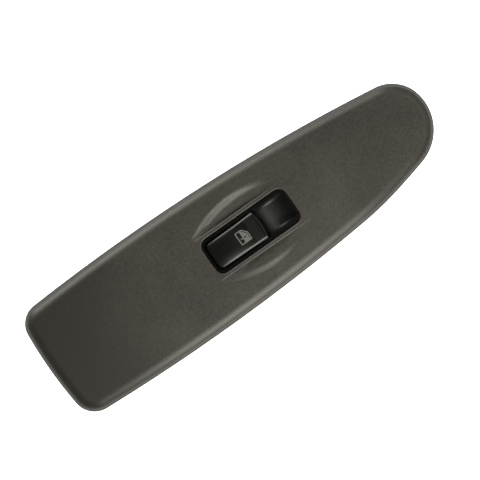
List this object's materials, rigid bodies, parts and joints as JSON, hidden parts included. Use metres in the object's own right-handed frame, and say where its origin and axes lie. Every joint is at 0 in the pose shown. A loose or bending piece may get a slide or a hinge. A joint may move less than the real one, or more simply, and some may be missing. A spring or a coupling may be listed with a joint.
{
  "type": "power window switch",
  "caption": "Power window rocker switch with a finger pocket, in a long rounded armrest trim panel; spring plungers tip rocking contacts, blade terminals below.",
  "frame": {"origin": "middle of the switch aperture, on the plane where the panel's skirt sits on the armrest", "axes": "+X along the switch from the knob to the finger pocket and the panel's narrow tip, +Y across it, +Z out of the panel's face"},
  "size_m": [0.2306, 0.0666, 0.0361],
  "materials": {
    "panel_plastic": "fine moulded grain, satin",
    "case_plastic": "fine moulded grain, satin",
    "knob_plastic": "smooth satin",
    "base_plastic": "as moulded",
    "clear_plastic": "polished, clear",
    "lamp_resin": "cast, water clear",
    "screw_steel": "black zinc plated",
    "clip_steel": "phosphated spring steel",
    "spring_steel": "drawn wire",
    "white_plastic": "as moulded",
    "contact_bronze": "stamped",
    "tinned_brass": "tin plated"
  },
  "bodies": {
    "housing": {"trim_panel": "panel_plastic", "switch_case": "case_plastic", "terminal_base": "base_plastic", "light_guide": "clear_plastic", "illumination_led": "lamp_resin", "case_screws": "screw_steel", "spring_clips": "clip_steel", "motor_terminal_left": "tinned_brass", "motor_terminal_right": "tinned_brass", "feed_terminal_left": "tinned_brass", "feed_terminal_right": "tinned_brass", "ground_terminal_left": "tinned_brass", "ground_terminal_right": "tinned_brass", "led_terminal_left": "tinned_brass", "led_terminal_right": "tinned_brass"},
    "rocker": {"rocker_knob": "knob_plastic", "plunger_spring_left": "spring_steel", "plunger_spring_right": "spring_steel"},
    "plunger_left": {"plunger_left": "white_plastic"},
    "contact_left": {"rocking_contact_left": "contact_bronze"},
    "plunger_right": {"plunger_right": "white_plastic"},
    "contact_right": {"rocking_contact_right": "contact_bronze"}
  },
  "joints": [
    {"name": "knob_pivot", "type": "hinge", "parent": "housing", "child": "rocker", "pos_m": [-0.008, 0, 0], "axis": [0, 1, 0], "range_deg": [-6, 6], "stiffness_Nm_per_rad": 0.8},
    {"name": "plunger_slide_left", "type": "slide", "parent": "rocker", "child": "plunger_left", "axis": [0, 0, 1], "range_m": [0, 0.0008], "stiffness_N_per_m": 700, "deforming": ["plunger_spring_left"]},
    {"name": "contact_rock_left", "type": "hinge", "parent": "housing", "child": "contact_left", "pos_m": [-0.008, 0.0036, -0.01248], "axis": [0, 1, 0], "range_deg": [-6, 6]},
    {"name": "plunger_slide_right", "type": "slide", "parent": "rocker", "child": "plunger_right", "axis": [0, 0, 1], "range_m": [0, 0.0008], "stiffness_N_per_m": 700, "deforming": ["plunger_spring_right"]},
    {"name": "contact_rock_right", "type": "hinge", "parent": "housing", "child": "contact_right", "pos_m": [-0.008, -0.0036, -0.01248], "axis": [0, 1, 0], "range_deg": [-6, 6]}
  ],
  "couplings": [
    {"joint": "contact_rock_left", "follows": "knob_pivot", "ratio": -1},
    {"joint": "contact_rock_right", "follows": "knob_pivot", "ratio": -1}
  ]
}
